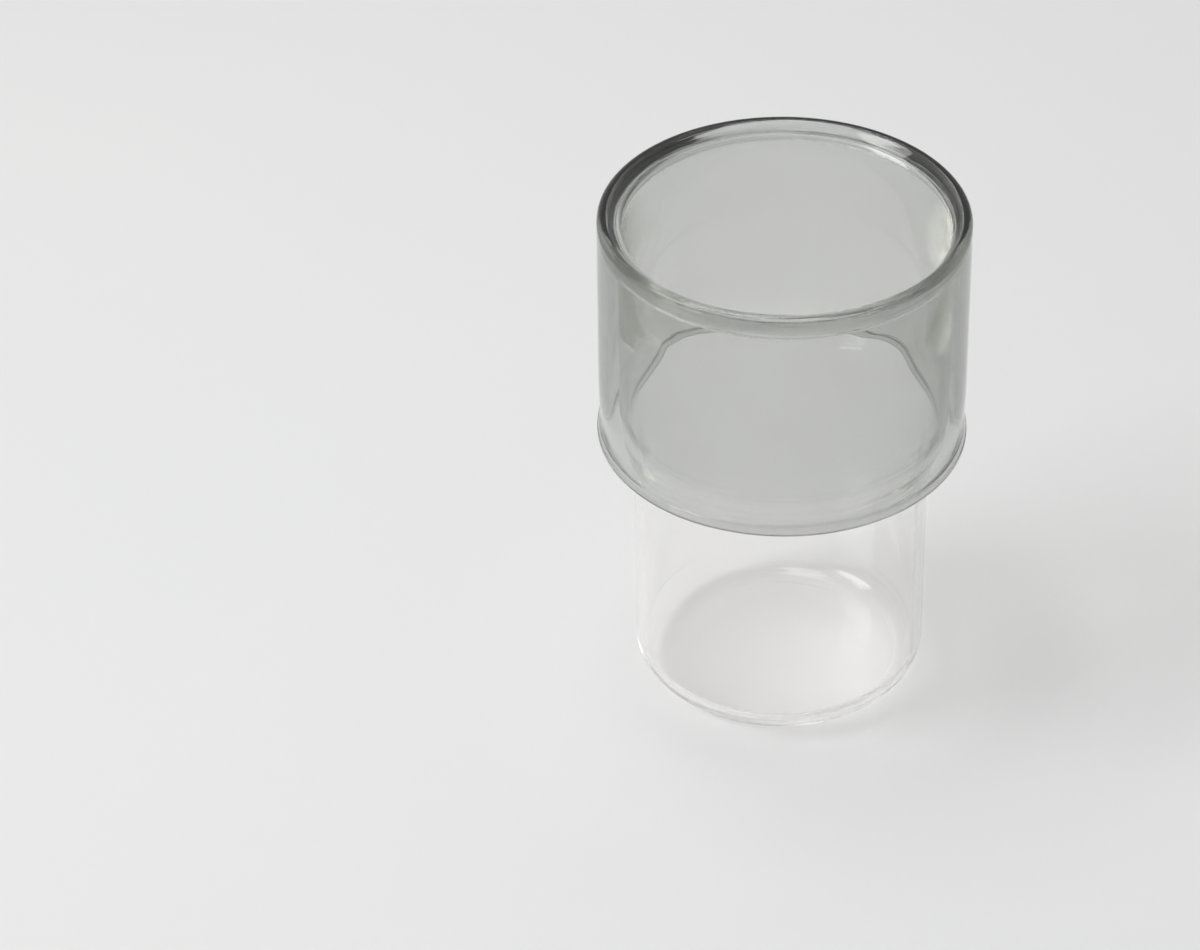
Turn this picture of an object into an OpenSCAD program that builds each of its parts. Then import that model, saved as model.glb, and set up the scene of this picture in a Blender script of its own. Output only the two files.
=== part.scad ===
/* [Overall] */
// Height from the table to the crest of the rim
height = 118; // [100:0.5:150]
// Diameter over the grey sleeve
sleeve_od = 80; // [72:0.5:92]

/* [Sleeve] */
// Length of the sleeve, from the crest of the rim down to its foot
sleeve_len = 56; // [44:0.5:70]
// Wall of the sleeve
sleeve_wall = 2.2; // [1.8:0.1:2.6]
// How far the fire-polished foot bead stands proud of the sleeve's side
bead_proud = 0.4; // [0.2:0.05:0.8]
// Depth of the soft waist that the flame draws in above the foot bead
waist_dip = 0.3; // [0.1:0.05:0.6]
// Height over which the waist fades into the straight side
waist_fade = 10; // [6:0.5:16]
// Radius of the hollow between the foot bead and the waist
bead_fillet = 4; // [2:0.5:8]

/* [Beaker] */
// Air gap between the beaker's wide mouth and the sleeve
air_gap = 1.8; // [1.4:0.1:2.4]
// Wall of the wide mouth
mouth_wall = 2; // [1.6:0.1:2.6]
// Wall of the narrower body
body_wall = 2.2; // [1.6:0.1:3]
// How far the body steps in from the mouth, on the radius
shoulder_step = 3.75; // [2:0.25:6]
// Height of the soft shoulder between the body and the mouth
shoulder_h = 20; // [12:0.5:28]
// How far the shoulder reaches below the sleeve's foot
shoulder_drop = 8.5; // [4:0.5:14]

/* [Base] */
// Thickness of the floor
floor_t = 2.6; // [2:0.1:4]
// Radius of the bottom corner, outside
corner_r = 7.7; // [5:0.1:11]
// Radius of the bottom corner, inside
corner_in_r = 5.1; // [3:0.1:9]
// Width of the flat ring that the glass stands on
stand_w = 4.5; // [2:0.25:8]
// Height of the shallow hollow inside the stand ring
punt_h = 0.5; // [0.2:0.1:1]

/* [Rim] */
// Radius of the fire-polished crest
rim_r = 1.6; // [1.4:0.1:1.8]
// How far the lip's nose stands in from the mouth's inner wall
nose_in = 0.1; // [0.05:0.05:0.25]
// Radius of the nose
nose_r = 1.2; // [1:0.1:1.4]
// Depth of the nose below the crest
nose_drop = 3.3; // [3:0.1:3.8]
// Height over which the mouth's wall swells in to the nose
nose_lead = 3.6; // [3:0.2:8]
// How far the sleeve's melted top edge swells inwards from its bore
bulb_in = 1; // [0.8:0.1:1.3]
// Depth of the middle of the melted edge below the crest
bulb_drop = 3.5; // [3.2:0.1:3.8]
// How far the clear lip reaches out over the sleeve's wall on the crest
lip_over = 0.2; // [0.1:0.05:0.5]
// Depth of the fused zone, from the crest down to the top of the air gap
seal_depth = 5.7; // [5.5:0.1:7]
// Radius in the top corner of the air gap, along the beaker's wall
crease_r = 0.75; // [0.4:0.05:0.9]

/* [Hidden] */
$fn = 180;

clear_tint = [0.93, 0.95, 0.94, 0.35];
grey_tint = [0.43, 0.44, 0.44, 0.6];

// Worked-out arcs are rounded to this step, on the side where neighbours cross by a hair
fine = 0.02;
// A slope that leads from one round to the next cuts into both by this hair
hair = 0.005;
function round_up(x) = ceil(x / fine) * fine;
function round_down(x) = floor(x / fine) * fine;

// Radii, worked inwards from the sleeve
sleeve_r = sleeve_od / 2;
seal_r = sleeve_r - sleeve_wall;
mouth_r = seal_r - air_gap;
mouth_in_r = mouth_r - mouth_wall;
body_r = mouth_r - shoulder_step;
body_in_r = body_r - body_wall;

// Heights, worked down from the crest and up from the table
foot_z = height - sleeve_len;
shoulder_z = foot_z - shoulder_drop;
shoulder_top_z = shoulder_z + shoulder_h;

// Crest: one full round over both pieces, tangent to the sleeve's outside
crest_r = sleeve_r - rim_r;
crest_z = height - rim_r;

// Nose: a small round where the lip stands furthest in, and a slope from it up to the crest, along both rounds
nose_in_r = mouth_in_r - nose_in;
nose_centre_r = nose_in_r + nose_r;
nose_z = height - nose_drop;
nose_lead_z = nose_z - nose_lead;
nose_gap = norm([crest_r - nose_centre_r, crest_z - nose_z]);
slope_turn = atan2(crest_z - nose_z, crest_r - nose_centre_r) + acos((nose_r - rim_r) / nose_gap);
slope_dir = [cos(slope_turn), sin(slope_turn)];
slope_low = [nose_centre_r, nose_z] + slope_dir * (nose_r - hair);
slope_high = [crest_r, crest_z] + slope_dir * (rim_r - hair);

// Bulb: the sleeve's melted top edge, a full round that the clear lip lies over
bulb_r = (sleeve_wall + bulb_in) / 2;
bulb_centre_r = sleeve_r - bulb_r;
bulb_z = height - bulb_drop;
seam_r = seal_r + lip_over;

// Crease: the top of the air gap, rounded along the beaker's wall
seal_z = height - seal_depth;
crease_z = seal_z - crease_r;

// Foot bead: a full round as wide as the wall and its proud edge together
bead_r = (sleeve_wall + bead_proud) / 2;
bead_centre_r = seal_r + bead_r;
bead_z = foot_z + bead_r;

// Waist: drawn in above the bead, and joined to it by a hollow that is tangent to both
waist_r = sleeve_r - waist_dip;
hollow_centre_r = waist_r + bead_fillet;
hollow_reach = bead_fillet + bead_r;
hollow_rise = round_down(sqrt(hollow_reach ^ 2 - (hollow_centre_r - bead_centre_r) ^ 2));
hollow_z = bead_z + hollow_rise;
hollow_end_r = bead_centre_r + (hollow_centre_r - bead_centre_r) * bead_r / hollow_reach;

// Hollow under the base: a shallow dome inside the stand ring
punt_r = body_r - corner_r - stand_w;
dome_r = (punt_r ^ 2 + punt_h ^ 2) / (2 * punt_h);

// Half-section slice from the axis out to a radius, between two heights
module slice(r, z_low, z_high) {
    translate([0, z_low])
        square([r, z_high - z_low]);
}

// Half-section of a round, placed by its centre
module ring(centre_r, centre_z, r) {
    translate([centre_r, centre_z])
        circle(r);
}

// Half-section of a pot: a rounded bottom corner under a straight side
module pot(r, corner, z_low, z_high) {
    slice(r - corner, z_low, z_high);
    ring(r - corner, z_low + corner, corner);
    slice(r, z_low + corner, z_high);
}

// Half-section whose side swells from one radius to a larger one in an S of two equal arcs
module swell(r_low, r_high, z_low, z_high) {
    step = r_high - r_low;
    half_rise = (z_high - z_low) / 2;
    bend = round_up(half_rise ^ 2 / step + step / 4);
    difference() {
        union() {
            slice(r_low + step / 2, z_low, z_low + half_rise);
            intersection() {
                slice(r_high, z_low + half_rise, z_high + half_rise);
                ring(r_high - bend, z_high, bend);
            }
        }
        ring(r_low + bend, z_low, bend);
    }
}

// Half-section of all that lies under the crest, from a height up, as if both pieces were one
module under_crest(z_low) {
    slice(sleeve_r, z_low, crest_z);
    slice(crest_r, z_low, height);
    ring(crest_r, crest_z, rim_r);
}

// Half-section of the air over the lip's inner side: above its nose, its slope and the crest
module over_lip() {
    difference() {
        slice(crest_r, nose_z, height + rim_r);
        ring(crest_r, crest_z, rim_r);
        ring(nose_centre_r, nose_z, nose_r);
        polygon([
            [nose_centre_r, nose_z - nose_r],
            slope_low,
            slope_high,
            [sleeve_r, crest_z],
            [sleeve_r, nose_z - nose_r],
        ]);
    }
}

// Half-section of the sleeve's melted top edge
module bulb() {
    ring(bulb_centre_r, bulb_z, bulb_r);
}

// Beaker's outside: body, shoulder, mouth, and the lip that runs out over the sleeve
module beaker_outside() {
    pot(body_r, corner_r, 0, crest_z);
    swell(body_r, mouth_r, shoulder_z, shoulder_top_z);
    slice(mouth_r, shoulder_top_z, crest_z);
    difference() {
        slice(mouth_r + crease_r, crease_z, bulb_z);
        ring(mouth_r + crease_r, crease_z, crease_r);
    }
    slice(seal_r, seal_z, crest_z);
    intersection() {
        under_crest(bulb_z);
        slice(seam_r, bulb_z, height + rim_r);
    }
}

// Beaker's inside: the drinking space, drawn in a little at the lip's nose
module beaker_inside() {
    pot(body_in_r, corner_in_r, floor_t, height);
    swell(body_in_r, mouth_in_r, shoulder_z, shoulder_top_z);
    slice(mouth_in_r, shoulder_top_z, nose_lead_z);
    translate([0, nose_lead_z + nose_z])
        mirror([0, 1])
            swell(nose_in_r, mouth_in_r, nose_lead_z, nose_z);
    slice(nose_in_r, nose_lead_z, height);
    over_lip();
}

// Sleeve's outside: foot bead, hollow, waist, straight side and its half of the crest
module sleeve_outside() {
    ring(bead_centre_r, bead_z, bead_r);
    difference() {
        slice(hollow_end_r, bead_z, hollow_z);
        ring(hollow_centre_r, hollow_z, bead_fillet);
    }
    slice(waist_r, bead_z, crest_z);
    swell(waist_r, sleeve_r, hollow_z, hollow_z + waist_fade);
    under_crest(hollow_z + waist_fade);
}

// Sleeve's inside: the bore, and above it the clear lip's share of the crest, but not the melted edge
module sleeve_inside() {
    difference() {
        union() {
            slice(seal_r, foot_z, height + rim_r);
            slice(seam_r, bulb_z, height + rim_r);
        }
        bulb();
    }
}

// Clear vessel that holds the drink and stands on the table
module clear_beaker() {
    color(clear_tint)
        rotate_extrude()
            difference() {
                beaker_outside();
                beaker_inside();
                bulb();
                ring(0, punt_h - dome_r, dome_r);
            }
}

// Smoke-grey tube fused to the beaker's lip, open at its foot
module grey_sleeve() {
    color(grey_tint)
        rotate_extrude()
            difference() {
                sleeve_outside();
                sleeve_inside();
                over_lip();
            }
}

clear_beaker();
grey_sleeve();
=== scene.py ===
from math import acos, asin, atan2, ceil, cos, degrees, hypot, pi, radians, sin, sqrt

import bpy
from mathutils import Matrix, Vector


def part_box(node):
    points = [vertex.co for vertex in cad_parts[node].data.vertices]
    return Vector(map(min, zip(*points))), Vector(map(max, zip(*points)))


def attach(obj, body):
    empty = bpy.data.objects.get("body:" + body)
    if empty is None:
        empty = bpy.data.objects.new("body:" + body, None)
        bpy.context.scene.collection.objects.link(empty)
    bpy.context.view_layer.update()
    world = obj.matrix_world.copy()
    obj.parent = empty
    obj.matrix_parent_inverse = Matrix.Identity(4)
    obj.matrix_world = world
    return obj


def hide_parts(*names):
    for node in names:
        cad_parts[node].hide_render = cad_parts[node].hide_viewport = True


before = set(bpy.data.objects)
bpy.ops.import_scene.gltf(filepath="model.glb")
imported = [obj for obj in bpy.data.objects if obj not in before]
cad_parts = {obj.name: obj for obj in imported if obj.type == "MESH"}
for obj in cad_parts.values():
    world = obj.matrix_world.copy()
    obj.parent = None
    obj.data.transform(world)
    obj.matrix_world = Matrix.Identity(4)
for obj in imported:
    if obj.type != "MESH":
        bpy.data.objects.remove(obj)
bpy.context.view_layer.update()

MM = 0.001


# Sizes in millimetres: radii and heights that the frame gives
def reach(node):
    """Outer radius, foot and top of a node of the frame."""
    low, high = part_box(node)
    return high[0] / MM, low[2] / MM, high[2] / MM


seam_r, table_z, crest_top = reach("clear_beaker")
bead_reach, foot_z, _ = reach("grey_sleeve")

# Sleeve: wall, foot bead, and the soft waist above it
sleeve_wall = 2.2
bead_proud = 0.4
waist_dip = 0.3
waist_fade = 10
bead_fillet = 4
sleeve_r = bead_reach - bead_proud
seal_r = sleeve_r - sleeve_wall
waist_r = sleeve_r - waist_dip

# Beaker: walls, air gap, shoulder and base
air_gap = 1.8
mouth_wall = 2
body_wall = 2.2
shoulder_step = 3.75
shoulder_h = 20
shoulder_drop = 8.5
floor_t = 2.6
corner_r = 7.7
corner_in_r = 5.1
stand_w = 4.5
punt_h = 0.5
mouth_r = seal_r - air_gap
mouth_in_r = mouth_r - mouth_wall
body_r = mouth_r - shoulder_step
body_in_r = body_r - body_wall
shoulder_z = foot_z - shoulder_drop
shoulder_top_z = shoulder_z + shoulder_h
punt_r = body_r - corner_r - stand_w

# Rim: crest, the lip's inner edge, to which the mouth opens out a little further than in the solids,
# the sleeve's melted edge that the clear lip lies over, and the top of the air gap
rim_r = 1.6
lip_open = 1.25
lip_r = 1.6
lip_drop = 3.2
lip_lead = 26
bulb_in = 1
bulb_drop = 3.5
seal_depth = 5.7
crease_r = 0.75
crest = (sleeve_r - rim_r, crest_top - rim_r)
lip_in_r = mouth_in_r + lip_open
lip = (lip_in_r + lip_r, crest_top - lip_drop)
lip_lead_z = lip[1] - lip_lead
slope_rise = (crest[0] - lip[0], crest[1] - lip[1])
slope_turn = degrees(atan2(slope_rise[1], slope_rise[0]) + acos((lip_r - rim_r) / hypot(*slope_rise)))
bulb_r = (sleeve_wall + bulb_in) / 2
bulb = (sleeve_r - bulb_r, crest_top - bulb_drop)
seal_z = crest_top - seal_depth
crease = (mouth_r + crease_r, seal_z - crease_r)

# The fused walls reach into each other by this much, so light passes the seam without bending
seam_lap = 0.03

# Hand-made glass: the mouth sits off the sleeve's axis, the seal is shallower at the back, the walls wander
mouth_off_centre = 0.5
seal_rise = 1.8
wall_ripple = 0.03
ripple_length = 24

# The seal's rise takes in both walls of the air gap and ends inside the glass: how deep past the mouth's wall
# and past the sleeve's bore it is still full, and how deep it is gone
rise_full_in = 0.1
rise_gone_in = 0.6
rise_full_out = 0.4
rise_gone_out = 0.8

# Clear and grey glass: how much they bend light, and the colour that they leave of it, with the density, per
# metre, at which they absorb the rest
borosilicate_ior = 1.473
clear_absorption = ("#fafaf2", 4)
grey_absorption = ("#728270", 186)

# Grain of the glass: draw lines along Z, and smears, which start to dull it at one level of their noise and
# dull it most at a higher one
clean_colour = "#ffffff"
smeared_colour = "#fdfcfc"
draw_line_size = (5, 5, 70)
draw_line_detail = 1.0
draw_line_depth = 0.0005
smear_size = (15, 15, 15)
smear_detail = 3.0
smear_start = 0.55
smear_full = 0.85
smear_roughness = 0.004

# Grain of the table: wide clouds of tone, and fine pores
table_colour = "#e9e9e8"
cloud_colour = "#e6e6e7"
cloud_size = (160, 160, 160)
cloud_detail = 2.0
pore_size = (0.9, 0.9, 0.9)
pore_detail = 2.0
pore_depth = 0.004
pore_roughness = (0.62, 0.78)

# Fineness of the skins
arc_turn = 2
arc_stride = 1.5
edge_hold = 0.2
steps_round = 224
weld_gap = 0.001
crisp_edge = 35


# Outlines of the half-sections
def polar(centre, radius, angle):
    """Point at an angle in degrees round a centre."""
    return (centre[0] + radius * cos(radians(angle)), centre[1] + radius * sin(radians(angle)))


def arc(centre, radius, start, end):
    """Points along an arc between two angles in degrees."""
    turn = abs(end - start)
    steps = ceil(max(turn / arc_turn, radians(turn) * radius / arc_stride, 1))
    return [polar(centre, radius, start + (end - start) * i / steps) for i in range(steps + 1)]


def straight(start, end):
    """Ends of a straight wall, each with a point close by that keeps its shading straight."""
    along = Vector(end) - Vector(start)
    hold = along.normalized() * min(edge_hold, along.length / 4)
    return [tuple(start), tuple(Vector(start) + hold), tuple(Vector(end) - hold), tuple(end)]


def swell(r_low, r_high, z_low, z_high):
    """Points up a side that swells from one radius to another in an S of two equal arcs."""
    step = r_high - r_low
    half_rise = (z_high - z_low) / 2
    bend = half_rise ** 2 / step + step / 4
    lean = degrees(asin(half_rise / bend))
    lower = arc((r_low + bend, z_low), bend, 180, 180 - lean)
    upper = arc((r_high - bend, z_high), bend, -lean, 0)
    return lower + upper


def joined(*runs):
    """One outline from runs of points that meet end to end."""
    points = [point for run in runs for point in run]
    steps = zip(points, points[1:])
    return points[:1] + [b for a, b in steps if hypot(b[0] - a[0], b[1] - a[1]) > weld_gap]


def seam(lap):
    """Line on which lip and sleeve are fused, from the air gap up to the crest, moved outwards by a lap.

    Gives its points, and the angle at which it meets the round of the crest.
    """
    bore, top = seal_r + lap, seam_r + lap
    round_r = bulb_r - lap
    low_turn = 360 - degrees(acos((bore - bulb[0]) / round_r))
    high_turn = degrees(acos((top - bulb[0]) / round_r))
    crest_turn = degrees(acos((seam_r - crest[0]) / rim_r))
    end = polar(crest, rim_r, crest_turn)
    return joined(
        straight((bore, seal_z), polar(bulb, round_r, low_turn)),
        arc(bulb, round_r, low_turn, high_turn),
        straight(polar(bulb, round_r, high_turn), (top, end[1] - abs(lap))),
    ), crest_turn


def beaker_outline():
    """Half-section of the beaker, from the hollow under its base, up the outside, down to its floor."""
    dome_r = (punt_r ** 2 + punt_h ** 2) / (2 * punt_h)
    dome_turn = degrees(asin(punt_r / dome_r))
    fused, crest_turn = seam(seam_lap)
    foot_in = floor_t + corner_in_r
    return joined(
        arc((0, punt_h - dome_r), dome_r, 90, 90 - dome_turn),
        straight((punt_r, table_z), (body_r - corner_r, table_z)),
        arc((body_r - corner_r, corner_r), corner_r, -90, 0),
        straight((body_r, corner_r), (body_r, shoulder_z)),
        swell(body_r, mouth_r, shoulder_z, shoulder_top_z),
        straight((mouth_r, shoulder_top_z), (mouth_r, crease[1])),
        arc(crease, crease_r, 180, 90),
        straight((crease[0], seal_z), fused[0]),
        fused,
        arc(crest, rim_r, crest_turn, slope_turn),
        straight(polar(crest, rim_r, slope_turn), polar(lip, lip_r, slope_turn)),
        arc(lip, lip_r, slope_turn, 180),
        reversed(swell(mouth_in_r, lip_in_r, lip_lead_z, lip[1])),
        straight((mouth_in_r, lip_lead_z), (mouth_in_r, shoulder_top_z)),
        reversed(swell(body_in_r, mouth_in_r, shoulder_z, shoulder_top_z)),
        straight((body_in_r, shoulder_z), (body_in_r, foot_in)),
        arc((body_in_r - corner_in_r, foot_in), corner_in_r, 0, -90),
        straight((body_in_r - corner_in_r, floor_t), (0, floor_t)),
    )


def sleeve_outline():
    """Half-section of the sleeve, from inside its foot bead, up the outside, down its bore."""
    bead_r = (bead_reach - seal_r) / 2
    bead = (seal_r + bead_r, foot_z + bead_r)
    hollow_r = waist_r + bead_fillet
    hollow_rise = sqrt((bead_fillet + bead_r) ** 2 - (hollow_r - bead[0]) ** 2)
    hollow = (hollow_r, bead[1] + hollow_rise)
    hollow_turn = degrees(atan2(hollow_rise, hollow_r - bead[0]))
    waist_top = hollow[1] + waist_fade
    fused, crest_turn = seam(-seam_lap)
    return joined(
        arc(bead, bead_r, -180, hollow_turn),
        arc(hollow, bead_fillet, 180 + hollow_turn, 180),
        swell(waist_r, sleeve_r, hollow[1], waist_top),
        straight((sleeve_r, waist_top), (sleeve_r, crest[1])),
        arc(crest, rim_r, 0, crest_turn),
        reversed(fused),
        straight((seal_r, seal_z - seam_lap), (seal_r, bead[1])),
    )


# Node trees
def add(tree, kind, inputs=None, **settings):
    """Add a node with its settings, and set or link its inputs by name or place."""
    node = tree.nodes.new(kind)
    for name, value in settings.items():
        setattr(node, name, value)
    for place, value in (inputs or {}).items():
        if isinstance(value, bpy.types.NodeSocket):
            tree.links.new(value, node.inputs[place])
        else:
            node.inputs[place].default_value = value
    return node


def maths(tree, operation, *values, kind="ShaderNodeMath"):
    """Result of a maths node over values or links."""
    return add(tree, kind, dict(enumerate(values)), operation=operation).outputs[0]


def whole_maths(tree, operation, *values):
    """Result of a maths node over whole numbers."""
    return maths(tree, operation, *values, kind="FunctionNodeIntegerMath")


def vector_sum(tree, first, second):
    """Sum of two vectors."""
    return maths(tree, "ADD", first, second, kind="ShaderNodeVectorMath")


def scaled(tree, vector, by):
    """Vector times a number."""
    return add(tree, "ShaderNodeVectorMath", {0: vector, "Scale": by}, operation="SCALE").outputs[0]


def ramp(tree, value, start, end, low=0.0, high=1.0, **settings):
    """Value that runs from low to high while another runs from start to end, and is held past both."""
    inputs = {0: value, 1: start, 2: end, 3: low, 4: high}
    return add(tree, "ShaderNodeMapRange", inputs, **settings).outputs[0]


def lathe_tree():
    """Turns a half-section round the Z axis into a closed skin, with a glassworker's small errors."""
    tree = bpy.data.node_groups.new("glass_lathe", "GeometryNodeTree")
    tree.interface.new_socket("Glass", in_out="OUTPUT", socket_type="NodeSocketGeometry")
    for name, kind in (
        ("Half-section", "NodeSocketGeometry"),
        ("Steps round", "NodeSocketInt"),
        ("Weld gap", "NodeSocketFloat"),
        ("Off-centre", "NodeSocketFloat"),
        ("Shoulder foot", "NodeSocketFloat"),
        ("Shoulder top", "NodeSocketFloat"),
        ("Fused radius", "NodeSocketFloat"),
        ("Free radius", "NodeSocketFloat"),
        ("Seal rise", "NodeSocketFloat"),
        ("Seal foot", "NodeSocketFloat"),
        ("Seal top", "NodeSocketFloat"),
        ("Ripple", "NodeSocketFloat"),
        ("Ripple length", "NodeSocketFloat"),
        ("Material", "NodeSocketMaterial"),
    ):
        tree.interface.new_socket(name, in_out="INPUT", socket_type=kind)
    given = add(tree, "NodeGroupInput").outputs

    # A grid with one row for each point of the half-section and one column for each step round
    size = add(tree, "GeometryNodeAttributeDomainSize", {0: given["Half-section"]}, component="MESH")
    rows = size.outputs["Point Count"]
    columns = whole_maths(tree, "ADD", given["Steps round"], 1)
    grid = add(tree, "GeometryNodeMeshGrid", {"Vertices X": rows, "Vertices Y": columns})
    index = add(tree, "GeometryNodeInputIndex").outputs[0]
    row = whole_maths(tree, "DIVIDE_FLOOR", index, columns)
    column = whole_maths(tree, "MODULO", index, columns)
    place = add(tree, "GeometryNodeInputPosition").outputs[0]
    section = add(tree, "GeometryNodeSampleIndex", {0: given["Half-section"], 1: place, 2: row},
                  data_type="FLOAT_VECTOR", domain="POINT")
    radius, _, height = add(tree, "ShaderNodeSeparateXYZ", {0: section.outputs[0]}).outputs
    share = maths(tree, "DIVIDE", column, given["Steps round"])
    angle = maths(tree, "MULTIPLY", share, 2 * pi)
    sine = maths(tree, "SINE", angle)
    outward = add(tree, "ShaderNodeCombineXYZ", {0: maths(tree, "COSINE", angle), 1: sine}).outputs[0]
    upward = add(tree, "ShaderNodeCombineXYZ", {2: height}).outputs[0]
    true_place = vector_sum(tree, scaled(tree, outward, radius), upward)

    # Ripple: walls wander along the radius, each wall by itself, and not at the axis
    pitch = maths(tree, "DIVIDE", 1.0, given["Ripple length"])
    wall = maths(tree, "MULTIPLY", radius, 1 / MM)
    noise = add(tree, "ShaderNodeTexNoise", {"Vector": true_place, "W": wall, "Scale": pitch, "Detail": 0.0},
                noise_dimensions="4D").outputs[0]
    push = maths(tree, "MULTIPLY", ramp(tree, noise, 0.0, 1.0, -1.0, 1.0), given["Ripple"])
    push = maths(tree, "MULTIPLY", push, ramp(tree, radius, 0.0, given["Ripple length"]))
    rippled = vector_sum(tree, true_place, scaled(tree, outward, push))

    # Off-centre mouth: free above the shoulder, held where it is fused to the sleeve
    above = ramp(tree, height, given["Shoulder foot"], given["Shoulder top"], interpolation_type="SMOOTHSTEP")
    free = ramp(tree, radius, given["Fused radius"], given["Free radius"])
    aside = maths(tree, "MULTIPLY", maths(tree, "MULTIPLY", above, free), given["Off-centre"])

    # Seal: the top of the air gap rises towards the back, and the fused skins above it give way
    past_mouth = maths(tree, "SUBTRACT", radius, given["Free radius"])
    past_bore = maths(tree, "SUBTRACT", radius, given["Fused radius"])
    lift = ramp(tree, sine, -1.0, 1.0)
    for factor in (
        ramp(tree, past_mouth, -rise_gone_in * MM, -rise_full_in * MM),
        ramp(tree, past_bore, rise_gone_out * MM, rise_full_out * MM),
        ramp(tree, height, given["Seal top"], given["Seal foot"]),
        maths(tree, "GREATER_THAN", height, given["Shoulder top"]),
        given["Seal rise"],
    ):
        lift = maths(tree, "MULTIPLY", lift, factor)
    moved = vector_sum(tree, rippled, add(tree, "ShaderNodeCombineXYZ", {0: aside, 2: lift}).outputs[0])

    # Close the seam and the poles
    skin = add(tree, "GeometryNodeSetPosition", {0: grid.outputs[0], "Position": moved}).outputs[0]
    skin = add(tree, "GeometryNodeMergeByDistance", {0: skin, "Distance": given["Weld gap"]}).outputs[0]
    skin = add(tree, "GeometryNodeFlipFaces", {0: skin}).outputs[0]
    skin = add(tree, "GeometryNodeSetShadeSmooth", {0: skin}).outputs[0]
    skin = add(tree, "GeometryNodeSetMaterial", {0: skin, "Material": given["Material"]}).outputs[0]
    add(tree, "NodeGroupOutput", {0: skin})
    return tree


def turned(name, outline, tree, values):
    """A glass piece turned from its half-section, with values for the named inputs of the lathe tree."""
    section = bpy.data.meshes.new(name + "_section")
    points = [(r * MM, 0, z * MM) for r, z in outline]
    section.from_pydata(points, [(i, i + 1) for i in range(len(points) - 1)], [])
    piece = bpy.data.objects.new(name, section)
    bpy.context.scene.collection.objects.link(piece)
    lathe = piece.modifiers.new("lathe", "NODES")
    lathe.node_group = tree
    for item in tree.interface.items_tree:
        if item.name in values:
            lathe[item.identifier] = values[item.name]
    evaluated = piece.evaluated_get(bpy.context.evaluated_depsgraph_get())
    mesh = bpy.data.meshes.new_from_object(evaluated)
    piece.modifiers.remove(lathe)
    piece.data = mesh
    mesh.name = name
    mesh.set_sharp_from_angle(angle=radians(crisp_edge))
    bpy.data.meshes.remove(section)
    return piece


# Materials
def linear(code):
    """Linear colour from an sRGB hex value."""
    parts = [int(code[i:i + 2], 16) / 255 for i in (1, 3, 5)]
    return [p / 12.92 if p <= 0.04045 else ((p + 0.055) / 1.055) ** 2.4 for p in parts] + [1.0]


def grain(tree, size, detail):
    """Noise in object space, with grains of a size in millimetres along X, Y and Z."""
    place = add(tree, "ShaderNodeTexCoord").outputs["Object"]
    scale = [1 / (side * MM) for side in size]
    place = add(tree, "ShaderNodeMapping", {"Vector": place, "Scale": scale}).outputs[0]
    return add(tree, "ShaderNodeTexNoise", {"Vector": place, "Scale": 1.0, "Detail": detail}).outputs[0]


def blend(tree, share, first, second):
    """Colour between two hex values, by a share from nodes."""
    inputs = {0: share, 6: linear(first), 7: linear(second)}
    return add(tree, "ShaderNodeMix", inputs, data_type="RGBA").outputs[2]


def bump(tree, height, depth):
    """Normal of a surface that a noise raises by a depth in millimetres."""
    return add(tree, "ShaderNodeBump", {"Distance": depth * MM, "Height": height}).outputs[0]


def new_material(name):
    """A material without nodes yet, and its tree."""
    material = bpy.data.materials.new(name)
    material.use_nodes = True
    material.node_tree.nodes.clear()
    return material, material.node_tree


def glass(name, absorbed, density):
    """Fire-polished borosilicate: clear to look through, with a tint that deepens with thickness.

    Draw lines sway what shows through a little, and smears dull it in spots.
    """
    material, tree = new_material(name)
    smears = grain(tree, smear_size, smear_detail)
    lines = grain(tree, draw_line_size, draw_line_detail)
    shader = add(tree, "ShaderNodeBsdfPrincipled", {
        "Base Color": blend(tree, smears, clean_colour, smeared_colour),
        "Roughness": ramp(tree, smears, smear_start, smear_full, 0.0, smear_roughness),
        "IOR": borosilicate_ior,
        "Transmission Weight": 1.0,
        "Normal": bump(tree, lines, draw_line_depth),
    })
    tint = add(tree, "ShaderNodeVolumeAbsorption", {"Color": linear(absorbed), "Density": density})
    add(tree, "ShaderNodeOutputMaterial", {"Surface": shader.outputs[0], "Volume": tint.outputs[0]})
    return material


def matt_laminate():
    """Matt pale laminate: a quiet, neutral white with a fine pressed grain, which takes a soft shadow."""
    material, tree = new_material("matt_white_laminate")
    cloud = grain(tree, cloud_size, cloud_detail)
    pores = grain(tree, pore_size, pore_detail)
    shader = add(tree, "ShaderNodeBsdfPrincipled", {
        "Base Color": blend(tree, cloud, table_colour, cloud_colour),
        "Roughness": ramp(tree, pores, 0.0, 1.0, *pore_roughness),
        "Normal": bump(tree, pores, pore_depth),
    })
    add(tree, "ShaderNodeOutputMaterial", {"Surface": shader.outputs[0]})
    return material


# Pieces: both get the same values, so that the fused skins stay matched
tree = lathe_tree()
lathe_values = {
    "Steps round": steps_round,
    "Weld gap": weld_gap * MM,
    "Off-centre": mouth_off_centre * MM,
    "Shoulder foot": shoulder_z * MM,
    "Shoulder top": shoulder_top_z * MM,
    "Fused radius": seal_r * MM,
    "Free radius": mouth_r * MM,
    "Seal rise": seal_rise * MM,
    "Seal foot": seal_z * MM,
    "Seal top": (bulb[1] + bulb_r) * MM,
    "Ripple": wall_ripple * MM,
    "Ripple length": ripple_length * MM,
}
clear_glass = glass("clear_borosilicate", *clear_absorption)
grey_glass = glass("smoke_grey_borosilicate", *grey_absorption)
beaker = turned("beaker_glass", beaker_outline(), tree, {**lathe_values, "Material": clear_glass})
sleeve = turned("sleeve_glass", sleeve_outline(), tree, {**lathe_values, "Material": grey_glass})
for piece, node, slot in ((beaker, "clear_beaker", "clear_glass"), (sleeve, "grey_sleeve", "grey_glass")):
    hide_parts(node)
    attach(piece, "root")

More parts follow.
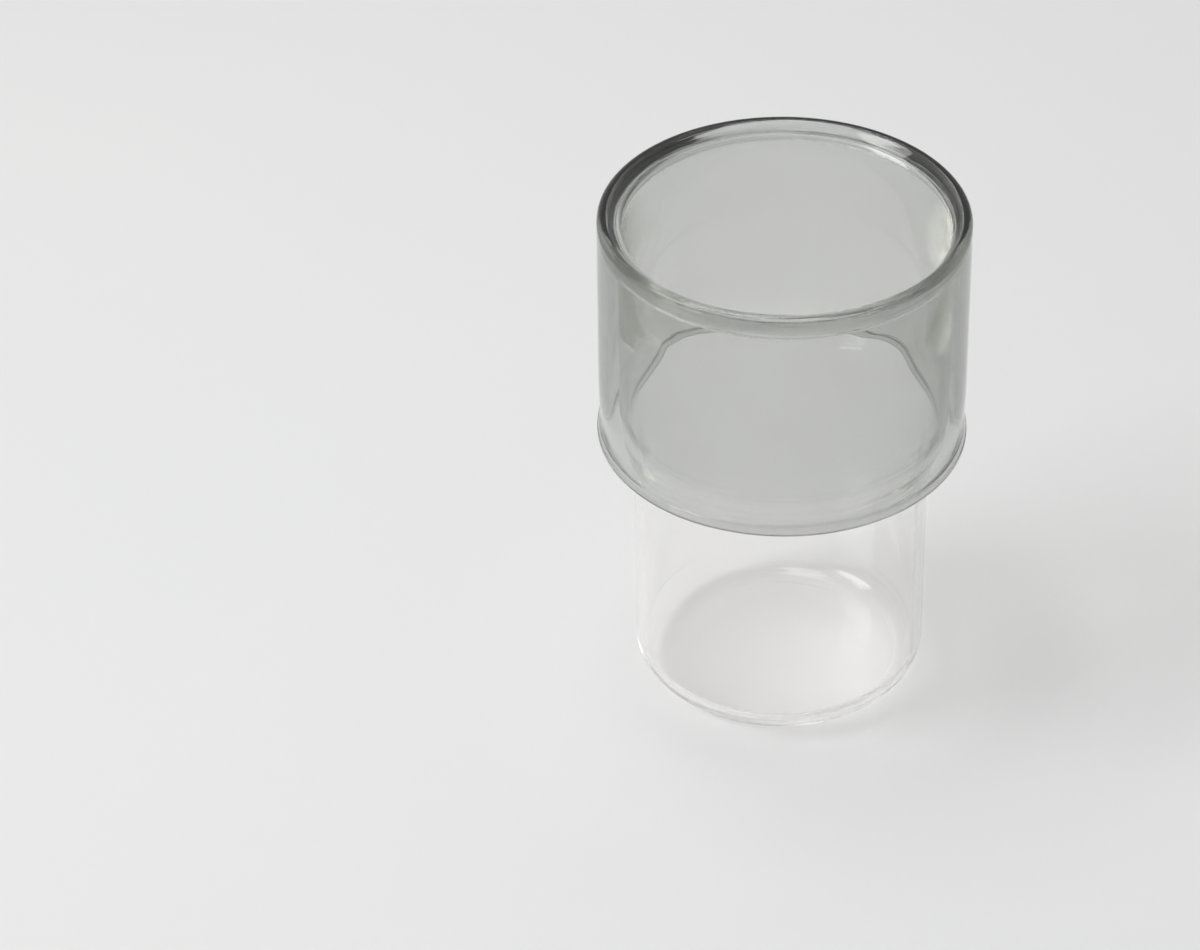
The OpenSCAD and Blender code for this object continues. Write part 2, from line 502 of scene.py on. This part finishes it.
# Stage: a pale table a hair below the stand ring
table_side = 1400
table_gap = 0.05
half = table_side * MM / 2
corners = [(-half, -half, 0), (half, -half, 0), (half, half, 0), (-half, half, 0)]
table_mesh = bpy.data.meshes.new("table")
table_mesh.from_pydata(corners, [], [(0, 1, 2, 3)])
table = bpy.data.objects.new("table", table_mesh)
table.location.z = (table_z - table_gap) * MM
table.data.materials.append(matt_laminate())
scene = bpy.context.scene
scene.collection.objects.link(table)


# Light: a room that is brighter on the window's side, and soft boxes
def side_lit_room(left, right):
    """World whose light falls evenly from the left, -X, to the right."""
    world = bpy.data.worlds.new("side_lit_room")
    world.use_nodes = True
    tree = world.node_tree
    toward = add(tree, "ShaderNodeTexCoord").outputs["Generated"]
    across = add(tree, "ShaderNodeSeparateXYZ", {0: toward}).outputs[0]
    background = tree.nodes["Background"].inputs
    background["Color"].default_value = linear("#ffffff")
    tree.links.new(ramp(tree, across, -1.0, 1.0, left, right), background["Strength"])
    return world


def soft_box(name, place, size, radiance):
    """Rectangular area light at a place in millimetres, aimed at the middle of the glass."""
    light = bpy.data.lights.new(name, "AREA")
    light.shape = "RECTANGLE"
    light.size, light.size_y = (side * MM for side in size)
    light.energy = radiance * pi * light.size * light.size_y
    box = bpy.data.objects.new(name, light)
    box.location = Vector(place) * MM
    aim = Vector((0, 0, crest_top / 2)) * MM - box.location
    box.rotation_euler = aim.to_track_quat("-Z", "Y").to_euler()
    scene.collection.objects.link(box)


scene.world = side_lit_room(left=0.86, right=0.42)
soft_box("window_left", place=(-1500, -280, 1280), size=(900, 900), radiance=4.8)
soft_box("lamp_overhead", place=(-120, 60, 650), size=(260, 260), radiance=3.4)
soft_box("window_low", place=(-1720, -1020, 0), size=(700, 260), radiance=5.0)

# Camera: a long lens, looking down on the glass from the front
camera_place = (-66.9, -840.5, 668.3)
camera_down = 36.289
camera_right = 1.837
camera_roll = -0.787
focal_length = 142.04
sensor = 36
camera = bpy.data.objects.new("camera", bpy.data.cameras.new("camera"))
camera.data.sensor_fit = "HORIZONTAL"
camera.data.sensor_width = sensor
camera.data.lens = focal_length
camera.matrix_world = (
    Matrix.Translation(Vector(camera_place) * MM)
    @ Matrix.Rotation(radians(-camera_right), 4, "Z")
    @ Matrix.Rotation(radians(90 - camera_down), 4, "X")
    @ Matrix.Rotation(radians(camera_roll), 4, "Z")
)
scene.collection.objects.link(camera)
scene.camera = camera

# Light paths: deep enough for light that runs down inside a wall, from the crest to the base
scene.view_settings.view_transform = "Standard"
wall_bounces = 128
scene.cycles.max_bounces = wall_bounces
scene.cycles.transmission_bounces = wall_bounces
scene.cycles.glossy_bounces = wall_bounces
scene.cycles.blur_glossy = 0
